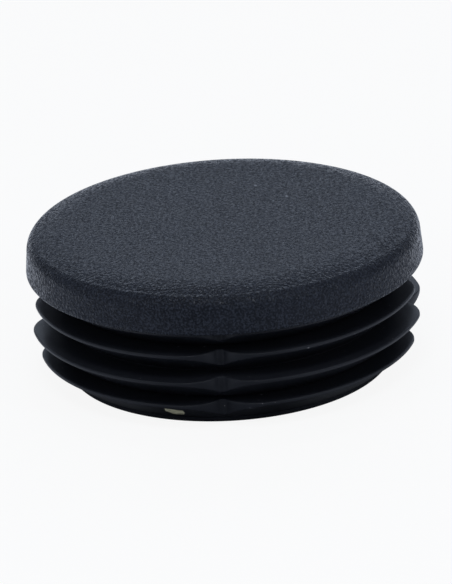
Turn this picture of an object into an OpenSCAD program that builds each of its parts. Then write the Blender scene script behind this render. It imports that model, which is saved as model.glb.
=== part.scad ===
// Mast top cap: a ribbed plug moulded in one piece that closes the end of a round tube.
// Millimetres, +Z up. The origin is the centre of the sleeve's open end, on which the cap stands.

/* [Tube] */
// Outside diameter of the tube, which the head covers
tube_d = 60; // [50:0.5:80]
// Wall of the tube that the fins are made for
tube_wall = 1.5; // [1:0.1:2.5]

/* [Head] */
// Height of the head above the end of the tube
head_h = 6.6; // [6:0.1:10]
// Radius of the gentle shoulder around the flat top
shoulder_radius = 13; // [6:0.5:18]
// Slope, in degrees, at which the shoulder runs into the edge
shoulder_slope = 22; // [10:1:30]
// Radius of the upper edge
edge_radius = 2.3; // [1:0.1:2.6]
// Radius of the lower edge
lip_radius = 0.4; // [0.2:0.05:0.8]
// Draft of the head's side, in degrees
side_draft = 5; // [1:0.5:8]
// Thickness of the top over the pocket
top_skin = 3.2; // [2:0.1:4.5]

/* [Fins] */
// Number of fins
fin_count = 3; // [2:1:5]
// How far the middle fins stand into the tube's wall before they are pressed in
fin_bite = 1.2; // [0.5:0.05:1.4]
// The same for the first fin, next to the head
first_bite = 0.65; // [0.2:0.05:1.3]
// The same for the last fin, which leads the cap in
lead_bite = 0.2; // [0:0.05:0.5]
// Distance from the head down to the first fin's flat top
first_fin = 3.6; // [2.5:0.05:6]
// Distance from one fin to the next
fin_pitch = 4.05; // [3.2:0.05:6]
// Height of the fin's straight rim
fin_land = 0.5; // [0.4:0.05:1]
// Slope of the fins' undersides, in degrees
fin_slope = 36.5; // [25:0.5:45]

/* [Sleeve] */
// Gap between the collar under the head and the bore
collar_gap = 0.1; // [0.05:0.05:0.5]
// Height of the collar's straight rim
collar_land = 0.8; // [0.5:0.1:1.5]
// Gap between the sleeve and the bore, which the fins fill
sleeve_gap = 4; // [3:0.1:6]
// Wall of the sleeve at its open end
sleeve_wall = 2.2; // [1.5:0.1:3.5]
// Plain end of the sleeve below the last fin
sleeve_tail = 0.65; // [0.6:0.05:4]
// Chamfer around the sleeve's open end
tail_chamfer = 0.1; // [0.05:0.05:0.5]
// Draft of the pocket inside, in degrees
pocket_draft = 1; // [0.5:0.25:3]
// Rounding where the pocket's wall meets its ceiling
pocket_fillet = 1.5; // [0.5:0.1:3]

/* [Notches] */
// Number of notches around each fin, on the lines where the mould parts
notch_count = 4; // [2:1:6]
// Depth of a notch in the fin's rim
notch_depth = 2.7; // [1:0.1:3.2]
// Radius of the rounded lips on both sides of a notch
notch_lip = 6.5; // [4:0.5:10]
// Radius of a notch's floor between the lips
notch_round = 0.5; // [0.2:0.1:1.5]

/* [Hidden] */
$fn = 128;

// Overlap that carries a solid or a cutter past the face it meets
cut = 1;
// How far an arc passes the line or arc it runs into, so that the two cross instead of touching
hair = 0.002;

// Radii of the tube's bore, the head, the collar, the fins, the sleeve and the pocket
bore_r = tube_d / 2 - tube_wall;
head_r = tube_d / 2;
collar_r = bore_r - collar_gap;
fin_r = bore_r + fin_bite;
first_r = bore_r + first_bite;
lead_r = bore_r + lead_bite;
sleeve_r = bore_r - sleeve_gap;
pocket_r = sleeve_r - sleeve_wall;

// Heights of the last fin's top, the seat on the tube's end, the flat top and the pocket's ceiling
lead_z = sleeve_tail + (lead_r - sleeve_r) * tan(fin_slope) + fin_land;
seat_z = lead_z + (fin_count - 1) * fin_pitch + first_fin;
top_z = seat_z + head_h;
ceiling_z = top_z - top_skin;

// The rims from the head down, each with its radius, the height of its top and its straight part
rims = concat(
    [[collar_r, seat_z, collar_land]],
    [for (i = [1 : fin_count - 1]) [i == 1 ? first_r : fin_r, lead_z + (fin_count - i) * fin_pitch, fin_land]],
    [[lead_r, lead_z, fin_land]]
);

// Where a rim's sloping underside ends: on the top of the rim below it, or on the sleeve
function floor_z(i) = i < fin_count ? rims[i + 1][1] : tail_chamfer;
function slope_z(i) = rims[i][1] - rims[i][2];
function root_r(i) = max(sleeve_r, rims[i][0] - (slope_z(i) - floor_z(i)) / tan(fin_slope));
function root_z(i) = slope_z(i) - (rims[i][0] - root_r(i)) * tan(fin_slope);

// Height just above a fin's flat top, where the notches of the fin over it begin
function split_z(i) = i > fin_count ? -cut : rims[i][1] + fin_land / 2;

// Centre of the lower edge's arc, and the radius of the head's drafted side, which runs up from it
lip_r = head_r - lip_radius - hair;
lip_z = seat_z + lip_radius;
function side_r(z) = lip_r + lip_radius / cos(side_draft) - (z - lip_z) * tan(side_draft);

// Centre of the upper edge's arc and of the shoulder's arc, which runs into it
edge_z = top_z - edge_radius * cos(shoulder_slope) - shoulder_radius * (1 - cos(shoulder_slope));
edge_r = side_r(edge_z) - edge_radius / cos(side_draft);
shoulder_r = edge_r + (edge_radius - shoulder_radius) * sin(shoulder_slope);

// Half section of the head before its edges are rounded
module head_blank() {
    polygon([[0, seat_z], [side_r(seat_z), seat_z], [side_r(top_z), top_z], [0, top_z]]);
}

// Everything below the shoulder's arc
module shoulder_limit() {
    square([shoulder_r, top_z]);
    translate([shoulder_r, top_z - shoulder_radius]) circle(shoulder_radius);
}

// Everything inside the upper edge's arc, from where the shoulder meets it to the side
module edge_limit() {
    reach = edge_radius + shoulder_radius;
    side_z = edge_z + edge_radius * sin(side_draft);
    translate([edge_r, edge_z]) circle(edge_radius + hair);
    polygon([
        [0, 0],
        [head_r, 0],
        [head_r, side_z],
        [edge_r + edge_radius * cos(side_draft), side_z],
        [edge_r, edge_z],
        [edge_r + reach * sin(shoulder_slope), edge_z + reach * cos(shoulder_slope)],
        [0, edge_z + reach]
    ]);
}

// Everything inside the lower edge's arc, from the seat to the side
module lip_limit() {
    side_z = lip_z + lip_radius * sin(side_draft);
    translate([lip_r, lip_z]) circle(lip_radius + hair);
    polygon([
        [0, 0],
        [lip_r, 0],
        [lip_r, lip_z],
        [lip_r + lip_radius * cos(side_draft), side_z],
        [head_r + cut, side_z],
        [head_r + cut, top_z + cut],
        [0, top_z + cut]
    ]);
}

// Half section of the head
module head_section() {
    intersection() {
        head_blank();
        shoulder_limit();
        edge_limit();
        lip_limit();
    }
}

// Half section of the insert: the collar, the fins with flat tops and sloping undersides, and the sleeve
module insert_section() {
    flanks = [for (i = [0 : fin_count]) each concat(
        i == 0 ? [] : [[rims[i][0], rims[i][1]]],
        [[rims[i][0], slope_z(i)], [root_r(i), root_z(i)]],
        root_r(i) > sleeve_r ? [] : [[sleeve_r, floor_z(i)]]
    )];
    polygon(concat(
        [[0, seat_z + cut], [collar_r, seat_z + cut]],
        flanks,
        [[sleeve_r - tail_chamfer, 0], [0, 0]]
    ));
}

// Half section of the pocket that the mould's core leaves
module pocket_section() {
    fillet_z = ceiling_z - pocket_fillet;
    fillet_r = pocket_r - fillet_z * tan(pocket_draft) - pocket_fillet / cos(pocket_draft);
    translate([fillet_r, fillet_z]) circle(pocket_fillet + hair);
    polygon([
        [0, -cut],
        [pocket_r + cut * tan(pocket_draft), -cut],
        [fillet_r + pocket_fillet * cos(pocket_draft), fillet_z + pocket_fillet * sin(pocket_draft)],
        [fillet_r, fillet_z],
        [fillet_r, ceiling_z],
        [0, ceiling_z]
    ]);
}

// Plan of a notch in a rim: two lips of equal radius run from the rounded floor out to the rim,
// which they pass by a hair so that each lip ends in a clean crossing
module notch_plan(rim) {
    lip_centre = rim + hair - notch_lip;
    floor_centre = rim - notch_depth + notch_round;
    apart = notch_lip + notch_round;
    half = acos((lip_centre^2 + floor_centre^2 - apart^2) / (2 * lip_centre * floor_centre));
    inner = [lip_centre * cos(half), lip_centre * sin(half)];
    outer = (rim + notch_depth) / lip_centre * inner;
    translate([floor_centre, 0]) circle(notch_round + hair);
    difference() {
        polygon([[floor_centre, 0], [inner.x, -inner.y], [outer.x, -outer.y], outer, inner]);
        for (side = [-1, 1]) rotate(side * half) translate([lip_centre, 0]) circle(notch_lip);
    }
}

// Notches around the rims between two heights
module notches(rim, low, high) {
    for (i = [0 : notch_count - 1]) rotate(i * 360 / notch_count)
        translate([0, 0, low]) linear_extrude(high - low) notch_plan(rim);
}

// The part that goes into the tube, with the notches in its rims
module insert() {
    difference() {
        rotate_extrude() insert_section();
        for (i = [1 : fin_count]) notches(rims[i][0], split_z(i + 1), i == 1 ? seat_z + 2 * cut : split_z(i));
    }
}

// The whole cap, moulded in one piece
module ribbed_cap() {
    color([0.055, 0.058, 0.068]) difference() {
        union() {
            rotate_extrude() head_section();
            insert();
        }
        rotate_extrude() pocket_section();
    }
}

ribbed_cap();
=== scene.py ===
"""Looks of the mast top cap: a fine mesh of the moulding, its plastics, and a plain studio."""
import math

import bpy
import numpy as np
from mathutils import Matrix, Vector


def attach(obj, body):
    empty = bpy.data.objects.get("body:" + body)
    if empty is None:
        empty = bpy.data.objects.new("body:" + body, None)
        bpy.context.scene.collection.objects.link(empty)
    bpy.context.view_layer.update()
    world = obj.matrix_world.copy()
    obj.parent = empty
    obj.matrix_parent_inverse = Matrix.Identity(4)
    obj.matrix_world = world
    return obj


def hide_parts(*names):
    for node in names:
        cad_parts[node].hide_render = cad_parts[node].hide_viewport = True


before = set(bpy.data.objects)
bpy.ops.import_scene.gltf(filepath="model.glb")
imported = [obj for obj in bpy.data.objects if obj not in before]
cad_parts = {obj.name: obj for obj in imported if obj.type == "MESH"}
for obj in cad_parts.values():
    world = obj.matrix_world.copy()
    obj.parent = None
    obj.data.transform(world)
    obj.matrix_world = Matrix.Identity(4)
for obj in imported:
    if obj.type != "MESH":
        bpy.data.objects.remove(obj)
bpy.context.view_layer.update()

MM = 0.001
UPRIGHT = math.pi / 2

# Sizes of the cap in millimetres, as in the part's source
HEAD_R, COLLAR_R = 30.0, 28.4
FIRST_R, FIN_R, LEAD_R = 29.15, 29.7, 28.7
SLEEVE_R, POCKET_R = 24.5, 22.3
HEAD_H, TOP_SKIN = 6.6, 3.2
SHOULDER_R, SHOULDER_SLOPE = 13.0, math.radians(22)
EDGE_R, LIP_R = 2.3, 0.4
SIDE_DRAFT, POCKET_DRAFT = math.radians(5), math.radians(1)
FIN_PITCH, FIRST_FIN = 4.05, 3.6
FIN_LAND, COLLAR_LAND = 0.5, 0.8
SLOPE = math.radians(36.5)
TAIL, TAIL_CHAMFER, POCKET_FILLET = 0.65, 0.1, 1.5
NOTCHES, NOTCH_DEPTH = 4, 2.7
# The notches' floors are a little rounder than the solid's, as the even shade in the photograph shows
NOTCH_LIP, NOTCH_ROUND = 6.25, 0.9

LEAD_Z = TAIL + (LEAD_R - SLEEVE_R) * math.tan(SLOPE) + FIN_LAND
SEAT_Z = LEAD_Z + 2 * FIN_PITCH + FIRST_FIN
TOP_Z = SEAT_Z + HEAD_H
CEILING_Z = TOP_Z - TOP_SKIN

# Rounding of the fins' rims and of the pocket's mouth, which the solid leaves sharp
RIM_ROUND, MOUTH_ROUND = 0.22, 0.15
# How far the mouth's rounding stands off both faces halfway round, as a share of its radius
MOUTH_HALFWAY = 0.3
# The fine mesh is drawn a hair narrower and lower, so that it stays inside the coarser CAD mesh's box
SNUG, LOWER = 0.9997, 0.9999
# Edges that turn by more than this are shaded as sharp
SHARP_ANGLE = math.radians(38)
# Radius past every rim, where no notch limits it, and a height too small to need a row
NO_LIMIT, NO_HEIGHT = 1e3, 0.001

# Places of the two materials on the cap
GRAINED, SMOOTH = 0, 1
# Share of a spot's radius and of a streak's width inside which the mark is full
SPOT_CORE, STREAK_CORE = 0.5, 0.4

# Number of rows along each stretch of the section, and where the rows on the flat faces lie
FLAT_ROWS, SHOULDER_ROWS, EDGE_ROWS, SIDE_ROWS, LIP_ROWS = 12, 10, 14, 7, 7
RIM_TOP_ROWS, RIM_LOW_ROWS, UNDERSIDE_ROWS = 5, 4, 6
WALL_ROWS, FILLET_ROWS = 6, 7
FIRST_RING, FIN_TOP_SHARES, CEILING_RINGS = 1.5, (0.4, 0.75), (15.0, 9.0, 3.0)

# Azimuths of the grid in degrees: start, end and number of steps, closer together in the notches
spread = ((-45, -14, 31), (-14, -3, 27), (-3, 3, 60), (3, 14, 27), (14, 45, 31))
quarter = np.concatenate([np.linspace(a, b, n, endpoint=False) for a, b, n in spread])
phi = np.radians(np.concatenate([quarter + 360 / NOTCHES * i for i in range(NOTCHES)]))
STEPS = len(phi)
ones = np.ones(STEPS)


def notch_limit(rim):
    """Radius to which the notches leave a rim at each azimuth."""
    lip_centre = rim - NOTCH_LIP
    floor_centre = rim - NOTCH_DEPTH + NOTCH_ROUND
    apart = NOTCH_LIP + NOTCH_ROUND
    half = math.acos((lip_centre**2 + floor_centre**2 - apart**2) / (2 * lip_centre * floor_centre))
    share = NOTCH_LIP / apart
    touch = math.atan2(lip_centre * math.sin(half) * (1 - share),
                       lip_centre * math.cos(half) * (1 - share) + floor_centre * share)
    turn = 2 * math.pi / NOTCHES
    off = np.abs((phi + turn / 2) % turn - turn / 2)
    gap = np.clip(half - off, 0, half)
    lip = lip_centre * np.cos(gap) + np.sqrt(NOTCH_LIP**2 - (lip_centre * np.sin(gap)) ** 2)
    low = np.minimum(off, touch)
    floor = floor_centre * np.cos(low) - np.sqrt(NOTCH_ROUND**2 - (floor_centre * np.sin(low)) ** 2)
    return np.where(off < touch, floor, np.where(off < half, lip, NO_LIMIT))


# Rows of the lathe grid, each with its radii, heights and material,
# from the top's centre over the outside to the pocket's ceiling
rows = []


def row(r, z, material):
    rows.append((np.asarray(r) * ones, np.asarray(z) * ones, material))


def arc(r, z, radius, start, end, count, material):
    """Rows along an arc round (r, z), by the angle of its outward normal above the horizontal."""
    for a in np.linspace(start, end, count):
        row(r + radius * math.cos(a), z + radius * math.sin(a), material)


def head_rows():
    """Rows of the head: flat top, shoulder, upper edge, drafted side and lower edge."""
    lip_r, lip_z = HEAD_R - LIP_R, SEAT_Z + LIP_R

    def side(z):
        return lip_r + LIP_R / math.cos(SIDE_DRAFT) - (z - lip_z) * math.tan(SIDE_DRAFT)

    edge_z = TOP_Z - EDGE_R * math.cos(SHOULDER_SLOPE) - SHOULDER_R * (1 - math.cos(SHOULDER_SLOPE))
    edge_r = side(edge_z) - EDGE_R / math.cos(SIDE_DRAFT)
    shoulder = edge_r + (EDGE_R - SHOULDER_R) * math.sin(SHOULDER_SLOPE)
    meet = UPRIGHT - SHOULDER_SLOPE
    for r in np.linspace(FIRST_RING, shoulder, FLAT_ROWS)[:-1]:
        row(r, TOP_Z, GRAINED)
    arc(shoulder, TOP_Z - SHOULDER_R, SHOULDER_R, UPRIGHT, meet, SHOULDER_ROWS, GRAINED)
    arc(edge_r, edge_z, EDGE_R, meet, SIDE_DRAFT, EDGE_ROWS, GRAINED)
    for z in np.linspace(edge_z, lip_z, SIDE_ROWS)[1:-1]:
        row(side(z), z, GRAINED)
    arc(lip_r, lip_z, LIP_R, SIDE_DRAFT, -UPRIGHT, LIP_ROWS, GRAINED)


def rim_rows(rim, cutter, top, land, rounded_top):
    """Rows of one rim: its top's edge, its straight part or the notch's wall, and its lower edge.

    Returns the radii and heights at which its underside starts.
    """
    r = np.minimum(rim, notch_limit(cutter))
    low = top - land - (rim - r) * math.tan(SLOPE)
    f = RIM_ROUND
    if rounded_top:
        arc(r - f, top - f, f, UPRIGHT, 0, RIM_TOP_ROWS, SMOOTH)
    else:
        row(r, top, SMOOTH)
    drop = f * math.tan((UPRIGHT - SLOPE) / 2)
    arc(r - f, low + drop, f, 0, SLOPE - UPRIGHT, RIM_LOW_ROWS, SMOOTH)
    return r - f * (1 - math.sin(SLOPE)), low + drop - f * math.cos(SLOPE)


def underside_rows(start_r, start_z, root_r, root_z):
    for t in np.linspace(0, 1, UNDERSIDE_ROWS)[1:]:
        row(start_r + (root_r - start_r) * t, start_z + (root_z - start_z) * t, SMOOTH)


def insert_rows():
    """Rows of the collar and the fins from the head down, and of the sleeve's open end."""
    tops = [SEAT_Z, LEAD_Z + 2 * FIN_PITCH, LEAD_Z + FIN_PITCH, LEAD_Z, TAIL_CHAMFER]
    rims = [COLLAR_R, FIRST_R, FIN_R, LEAD_R]
    cutters = [FIRST_R, FIRST_R, FIN_R, LEAD_R]
    lands = [COLLAR_LAND, FIN_LAND, FIN_LAND, FIN_LAND]
    for i, rim in enumerate(rims):
        start_r, start_z = rim_rows(rim, cutters[i], tops[i], lands[i], i > 0)
        slope_z = tops[i] - lands[i]
        root_r = max(SLEEVE_R, rim - (slope_z - tops[i + 1]) / math.tan(SLOPE))
        root_z = slope_z - (rim - root_r) * math.tan(SLOPE)
        underside_rows(start_r, start_z, root_r, root_z)
        if root_z - tops[i + 1] > NO_HEIGHT:
            row(root_r, tops[i + 1], SMOOTH)
        if i + 1 < len(rims):
            outer = np.minimum(rims[i + 1], notch_limit(cutters[i + 1])) - RIM_ROUND
            for t in FIN_TOP_SHARES:
                row(root_r + (outer - root_r) * t, tops[i + 1], SMOOTH)
    row(SLEEVE_R - TAIL_CHAMFER, 0, SMOOTH)


def pocket_rows():
    """Rows of the pocket: its rounded mouth, drafted wall, fillet and ceiling."""
    fillet_z = CEILING_Z - POCKET_FILLET
    fillet_r = POCKET_R - fillet_z * math.tan(POCKET_DRAFT) - POCKET_FILLET / math.cos(POCKET_DRAFT)
    halfway = MOUTH_ROUND * MOUTH_HALFWAY
    row(POCKET_R + MOUTH_ROUND, 0, SMOOTH)
    row(POCKET_R + halfway, halfway, SMOOTH)
    for z in np.linspace(MOUTH_ROUND, fillet_z, WALL_ROWS)[:-1]:
        row(POCKET_R - z * math.tan(POCKET_DRAFT), z, SMOOTH)
    arc(fillet_r, fillet_z, POCKET_FILLET, POCKET_DRAFT, UPRIGHT, FILLET_ROWS, SMOOTH)
    for r in CEILING_RINGS:
        row(r, CEILING_Z, SMOOTH)


def cap_mesh():
    """Closed mesh of the whole moulding: a ring of vertices for each row, and a pole at both ends."""
    head_rows()
    insert_rows()
    pocket_rows()
    rings = [np.column_stack((r * np.cos(phi) * SNUG, r * np.sin(phi) * SNUG, z * LOWER)) for r, z, _ in rows]
    verts = np.vstack([[[0, 0, TOP_Z * LOWER]]] + rings + [[[0, 0, CEILING_Z * LOWER]]]) * MM
    last = len(verts) - 1
    end = last - STEPS
    pairs = [(k, (k + 1) % STEPS) for k in range(STEPS)]
    faces = [(0, 1 + a, 1 + b) for a, b in pairs]
    kinds = [rows[0][2]] * STEPS
    for i in range(len(rows) - 1):
        top, low = 1 + i * STEPS, 1 + (i + 1) * STEPS
        faces += [(top + a, low + a, low + b, top + b) for a, b in pairs]
        kinds += [rows[i + 1][2]] * STEPS
    faces += [(last, end + b, end + a) for a, b in pairs]
    kinds += [rows[-1][2]] * STEPS
    mesh = bpy.data.meshes.new("ribbed_cap_fine")
    mesh.from_pydata(verts.tolist(), [], faces)
    mesh.polygons.foreach_set("material_index", kinds)
    mesh.polygons.foreach_set("use_smooth", [True] * len(faces))
    mesh.set_sharp_from_angle(angle=SHARP_ANGLE)
    mesh.validate()
    mesh.update()
    return mesh


class Nodes:
    """Short calls to add and link shader nodes."""

    def __init__(self, material):
        material.use_nodes = True
        self.tree = material.node_tree
        self.shader = self.tree.nodes["Principled BSDF"]
        coord = self.tree.nodes.new("ShaderNodeTexCoord")
        self.place = coord.outputs["Object"]

    def fill(self, socket, value):
        if isinstance(value, bpy.types.NodeSocket):
            self.tree.links.new(value, socket)
        else:
            socket.default_value = value

    def add(self, kind, inputs=(), **settings):
        node = self.tree.nodes.new(kind)
        for name, value in settings.items():
            setattr(node, name, value)
        for socket, value in dict(inputs).items():
            self.fill(node.inputs[socket], value)
        return node

    def noise(self, scale, detail=2.0, roughness=0.5):
        node = self.add("ShaderNodeTexNoise", {
            "Vector": self.place, "Scale": scale, "Detail": detail, "Roughness": roughness})
        return node.outputs["Fac"]

    def math(self, operation, a, b=0.0):
        return self.add("ShaderNodeMath", {0: a, 1: b}, operation=operation).outputs[0]

    def vector(self, operation, inputs, output):
        return self.add("ShaderNodeVectorMath", inputs, operation=operation).outputs[output]

    def span(self, value, low, high, to_low=0.0, to_high=1.0):
        node = self.add("ShaderNodeMapRange", {
            "Value": value, "From Min": low, "From Max": high, "To Min": to_low, "To Max": to_high},
            interpolation_type="SMOOTHSTEP")
        return node.outputs["Result"]

    def mix(self, factor, a, b):
        node = self.add("ShaderNodeMix", {0: factor, 6: a, 7: b}, data_type="RGBA")
        return node.outputs[2]

    def tint(self, mask, share, colour, other):
        """The colour, with a share of another one where the mask is."""
        return self.mix(self.math("MULTIPLY", mask, share), colour, other)

    def bump(self, height, distance, strength):
        inputs = {"Height": height, "Distance": distance, "Strength": strength}
        return self.add("ShaderNodeBump", inputs).outputs["Normal"]

    def spots(self, points):
        """Mask of small round spots at points in millimetres, each with its radius."""
        total = None
        for x, y, z, r in points:
            gap = self.vector("DISTANCE", {0: self.place, 1: (x * MM, y * MM, z * MM)}, "Value")
            spot = self.span(gap, r * MM, r * SPOT_CORE * MM)
            total = spot if total is None else self.math("MAXIMUM", total, spot)
        return total

    def streak(self, points, width):
        """Mask of a thin streak through points in millimetres."""
        total = None
        for a, b in zip(points, points[1:]):
            start, run = Vector(a) * MM, (Vector(b) - Vector(a)) * MM
            gap = self.vector("SUBTRACT", {0: self.place, 1: start}, 0)
            along = self.vector("DOT_PRODUCT", {0: gap, 1: run / run.length_squared}, "Value")
            # Times one, for the clamp that keeps the nearest point between both ends
            held = self.add("ShaderNodeMath", {0: along, 1: 1.0}, operation="MULTIPLY", use_clamp=True)
            step = self.vector("SCALE", {0: tuple(run), "Scale": held.outputs[0]}, 0)
            off = self.vector("DISTANCE", {0: gap, 1: step}, "Value")
            line = self.span(off, width * MM, width * STREAK_CORE * MM)
            total = line if total is None else self.math("MAXIMUM", total, line)
        return total

    def set(self, **sockets):
        for name, value in sockets.items():
            self.fill(self.shader.inputs[name.replace("_", " ")], value)


def grained_plastic():
    """Black plastic with a spark-eroded grain, for the head's top and side."""
    dark, light = (0.009, 0.0100, 0.0140, 1), (0.030, 0.0340, 0.0455, 1)
    hazy, dusty = (0.030, 0.0345, 0.047, 1), (0.26, 0.27, 0.30, 1)
    dull, shiny = 0.58, 0.15
    pit_depth = 0.18 * MM
    specks = ((4.64, 13.67, TOP_Z, 0.30), (9.50, 8.63, TOP_Z, 0.30))

    material = bpy.data.materials.new("grained_black_plastic")
    n = Nodes(material)
    pits = n.noise(2400, 1.0, 0.5)
    fine = n.noise(3400, 1.0, 0.5)
    broad = n.noise(90, 3.0)
    colour = n.mix(n.span(fine, 0.42, 0.66), dark, light)
    colour = n.tint(n.span(broad, 0.3, 0.7), 0.2, colour, hazy)
    colour = n.tint(n.spots(specks), 0.85, colour, dusty)
    rough = n.span(n.noise(2300, 1.0, 0.5), 0.36, 0.62, dull, shiny)
    n.set(Base_Color=colour, Roughness=rough, Normal=n.bump(pits, pit_depth, 1.0))
    n.set(Specular_IOR_Level=0.1)
    return material


def smooth_plastic():
    """The same plastic as the mould's polished walls leave it, for the fins, the sleeve and the pocket."""
    dark, light = (0.0112, 0.0121, 0.0160, 1), (0.0138, 0.0149, 0.0194, 1)
    dusty, hairy = (0.24, 0.23, 0.24, 1), (0.16, 0.17, 0.19, 1)
    tan, pale_tan = (0.30, 0.28, 0.19, 1), (0.52, 0.49, 0.34, 1)
    shiny, dull = 0.38, 0.46
    wave_depth = 0.03 * MM
    specks = ((-6.15, -24.70, 12.36, 0.2), (-2.31, -25.10, 12.36, 0.2), (12.96, -26.11, 11.87, 0.2),
              (22.94, -9.28, 8.31, 0.2), (3.33, -29.51, 8.25, 0.2), (5.62, -24.87, 4.26, 0.2),
              (5.85, -28.10, 4.19, 0.15), (-5.44, -24.80, 4.62, 0.2), (-4.19, -26.05, 9.81, 0.17))
    hair = ((1.12, -27.23, 4.26), (2.18, -28.07, 4.26), (3.35, -28.50, 3.91), (4.60, -27.46, 3.12))
    hair_width = 0.1

    material = bpy.data.materials.new("smooth_black_plastic")
    n = Nodes(material)
    cloud = n.noise(140, 4.0, 0.6)
    fine = n.noise(1500, 3.0, 0.6)
    colour = n.mix(n.span(cloud, 0.3, 0.7), dark, light)
    grit = n.add("ShaderNodeTexVoronoi", {"Vector": n.place, "Scale": 500.0}).outputs["Distance"]
    dust = n.math("MAXIMUM", n.spots(specks), n.span(grit, 0.05, 0.02))
    colour = n.tint(dust, 0.8, colour, dusty)
    colour = n.tint(n.streak(hair, hair_width), 0.35, colour, hairy)
    colour = n.mix(fleck(n), colour, n.mix(n.span(n.noise(900), 0.35, 0.65), tan, pale_tan))
    wear = n.math("ADD", n.math("MULTIPLY", cloud, 0.6), n.math("MULTIPLY", fine, 0.4))
    waves = n.math("ADD", cloud, n.math("MULTIPLY", fine, 0.12))
    rough = n.span(wear, 0.3, 0.7, shiny, dull)
    n.set(Base_Color=colour, Roughness=rough, Normal=n.bump(waves, wave_depth, 0.5))
    n.set(Specular_IOR_Level=0.18)
    return material


def fleck(n):
    """Mask of the pale fleck under the last fin: pointed at the left, rounded at the right."""
    point_x, middle_z, length = -8.65 * MM, 2.35 * MM, 2.92 * MM
    point_z, point_rise, bottom_z = 2.70 * MM, 0.9, 1.66 * MM
    top_z, top_fall, bulge = 3.70 * MM, 0.16, 0.25
    point_soft, end_soft, low_soft, top_soft = 0.06 * MM, 0.14 * MM, 0.1 * MM, 0.16 * MM
    front_from, front_to = -10 * MM, -20 * MM

    x, y, z = n.add("ShaderNodeSeparateXYZ", {0: n.place}).outputs
    along = n.math("ADD", x, -point_x)
    belly = n.math("ABSOLUTE", n.math("SUBTRACT", z, middle_z))
    left = n.span(along, -point_soft, point_soft)
    right = n.span(n.math("ADD", along, n.math("MULTIPLY", belly, bulge)), length, length - end_soft)
    rising = n.math("SUBTRACT", point_z, n.math("MULTIPLY", along, point_rise))
    low = n.span(n.math("SUBTRACT", z, n.math("MAXIMUM", rising, bottom_z)), -low_soft, low_soft)
    high = n.span(n.math("ADD", z, n.math("MULTIPLY", along, top_fall)), top_z, top_z - top_soft)
    front = n.span(y, front_from, front_to)
    ends = n.math("MULTIPLY", n.math("MULTIPLY", left, right), front)
    return n.math("MULTIPLY", ends, n.math("MULTIPLY", low, high))


def pale_floor():
    """White to the camera with a light shadow, pale to the other light, and clear from below.

    In reflections its glow is dimmed by painted shade in front of the cap and by a painted shadow close to
    it.
    """
    pale, white, cool = (0.93, 0.93, 0.95, 1), (1, 1, 1, 1), (0.88, 0.96, 1.12, 1)
    glow_share = 0.9
    # Angles from straight ahead, and distances from the axis, over which the painted shade and the painted
    # shadow in reflections lift to full
    ahead, aside, ahead_level = 0.30, 0.70, 0.2
    near, far, near_level = 0.026, 0.038, 0.08

    material = bpy.data.materials.new("pale_floor")
    n = Nodes(material)
    path = n.add("ShaderNodeLightPath").outputs
    straight = n.math("MAXIMUM", path["Is Camera Ray"], path["Is Transmission Ray"])
    seen = n.math("MAXIMUM", straight, path["Is Glossy Ray"])
    n.set(Base_Color=n.mix(seen, pale, white))
    n.set(Roughness=0.9, Specular_IOR_Level=0.0)
    x, y, _ = n.add("ShaderNodeSeparateXYZ", {0: n.place}).outputs
    away = n.vector("LENGTH", {0: n.place}, "Value")
    angle = n.math("ARCTAN2", n.math("ABSOLUTE", x), n.math("MULTIPLY", y, -1.0))
    # Painted shade in front of the cap and a painted shadow close to it, on the floor's glow as reflections
    # see it
    painted_shade_ahead = n.span(angle, ahead, aside, ahead_level)
    painted_shadow_near = n.span(away, near, far, near_level)
    painted_shade_in_reflections = n.math("MULTIPLY", painted_shade_ahead, painted_shadow_near)
    share = n.math("MAXIMUM", n.math("MULTIPLY", straight, glow_share), path["Is Glossy Ray"])
    glow = n.add("ShaderNodeEmission", {
        "Color": n.mix(straight, cool, white), "Strength": n.math("MAXIMUM", straight, painted_shade_in_reflections)})
    lit = n.add("ShaderNodeMixShader", {0: share, 1: n.shader.outputs[0], 2: glow.outputs[0]})
    below = n.add("ShaderNodeNewGeometry").outputs["Backfacing"]
    clear = n.add("ShaderNodeBsdfTransparent")
    both = n.add("ShaderNodeMixShader", {0: below, 1: lit.outputs[0], 2: clear.outputs[0]})
    n.tree.links.new(both.outputs[0], n.tree.nodes["Material Output"].inputs["Surface"])
    return material


def surroundings():
    """Dim world all round, with a pale panel behind the cap."""
    cool = (0.86, 0.975, 1.18, 1)
    dim, bright = 0.27, 1.65
    # Shares of the way back and up over which the panel fades in
    back_from, back_to = 0.68, 0.74
    up_from, up_to = 0.24, 0.34

    world = bpy.data.worlds.new("studio")
    bpy.context.scene.world = world
    world.use_nodes = True
    tree = world.node_tree
    coord = tree.nodes.new("ShaderNodeTexCoord")
    axes = tree.nodes.new("ShaderNodeSeparateXYZ")
    back = tree.nodes["Background"]
    tree.links.new(coord.outputs["Generated"], axes.inputs[0])

    def ramp(value, low, high, to_low=0.0, to_high=1.0):
        node = tree.nodes.new("ShaderNodeMapRange")
        tree.links.new(value, node.inputs["Value"])
        for name, number in (("From Min", low), ("From Max", high), ("To Min", to_low), ("To Max", to_high)):
            node.inputs[name].default_value = number
        return node.outputs["Result"]

    panel = tree.nodes.new("ShaderNodeMath")
    panel.operation = "MULTIPLY"
    tree.links.new(ramp(axes.outputs["Y"], back_from, back_to), panel.inputs[0])
    tree.links.new(ramp(axes.outputs["Z"], up_from, up_to), panel.inputs[1])
    tree.links.new(ramp(panel.outputs[0], 0.0, 1.0, dim, bright), back.inputs["Strength"])
    back.inputs["Color"].default_value = cool


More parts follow.
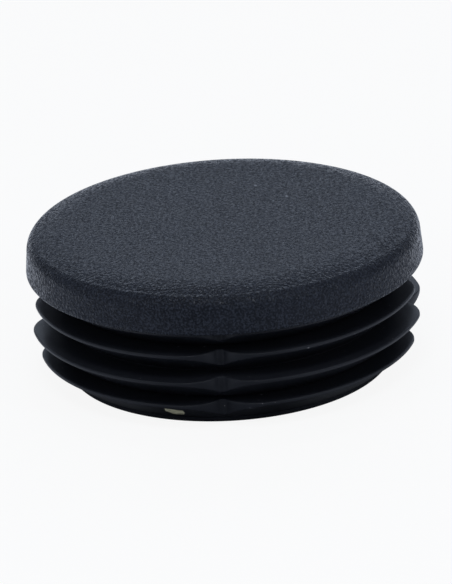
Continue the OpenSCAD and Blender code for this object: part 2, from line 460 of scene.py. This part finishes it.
def lamp(name, place, size, watts):
    """Soft round lamp that points at the cap."""
    data = bpy.data.lights.new(name, "AREA")
    data.shape = "DISK"
    data.size = size
    data.energy = watts
    data.color = (0.92, 0.97, 1.0)
    obj = bpy.data.objects.new(name, data)
    obj.location = place
    obj.rotation_mode = "QUATERNION"
    obj.rotation_quaternion = (-Vector(place)).to_track_quat("-Z", "Y")
    bpy.context.scene.collection.objects.link(obj)


def studio():
    """Surroundings, a pale floor, and lamps above, in front and at both sides."""
    surroundings()

    side = 3.0
    corners = [(-side, -side, 0), (side, -side, 0), (side, side, 0), (-side, side, 0)]
    mesh = bpy.data.meshes.new("floor")
    mesh.from_pydata(corners, [], [(0, 1, 2, 3)])
    mesh.materials.append(pale_floor())
    floor = bpy.data.objects.new("floor", mesh)
    bpy.context.scene.collection.objects.link(floor)

    lamp("above", (0.0, 0.22, 0.85), 0.1, 0.3)
    lamp("front", (0.0, -0.4, 0.85), 0.3, 1.6)
    lamp("right", (0.65, -0.42, 0.5), 0.3, 1.0)
    lamp("left", (-0.65, -0.42, 0.5), 0.3, 0.75)


def camera():
    """Long lens from the front, a little to the right, with the photograph's slight roll."""
    turn, roll = math.radians(3.24), math.radians(-3.51)
    sensor, focal_pixels, picture_height = 36, 5258, 584
    eye = Matrix.Rotation(turn, 3, "Z") @ Vector((-0.00006, -0.7379, 0.3074))
    aim = Vector((-0.00009, 0, 0.01073))
    ahead = (aim - eye).normalized()
    right = ahead.cross(Vector((0, 0, 1))).normalized()
    up = right.cross(ahead)
    side = math.cos(roll) * right + math.sin(roll) * up
    top = -math.sin(roll) * right + math.cos(roll) * up
    data = bpy.data.cameras.new("camera")
    data.sensor_width = sensor
    data.lens = focal_pixels * sensor / picture_height
    data.clip_start, data.clip_end = 0.01, 20
    obj = bpy.data.objects.new("camera", data)
    obj.matrix_world = Matrix((
        (side.x, top.x, -ahead.x, eye.x),
        (side.y, top.y, -ahead.y, eye.y),
        (side.z, top.z, -ahead.z, eye.z),
        (0, 0, 0, 1)))
    bpy.context.scene.collection.objects.link(obj)
    bpy.context.scene.camera = obj


cap = bpy.data.objects.new("cap", cap_mesh())
cap.data.materials.append(grained_plastic())
cap.data.materials.append(smooth_plastic())
bpy.context.scene.collection.objects.link(cap)
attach(cap, "root")
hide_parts("ribbed_cap")

studio()
camera()
bpy.context.scene.view_settings.view_transform = "Standard"
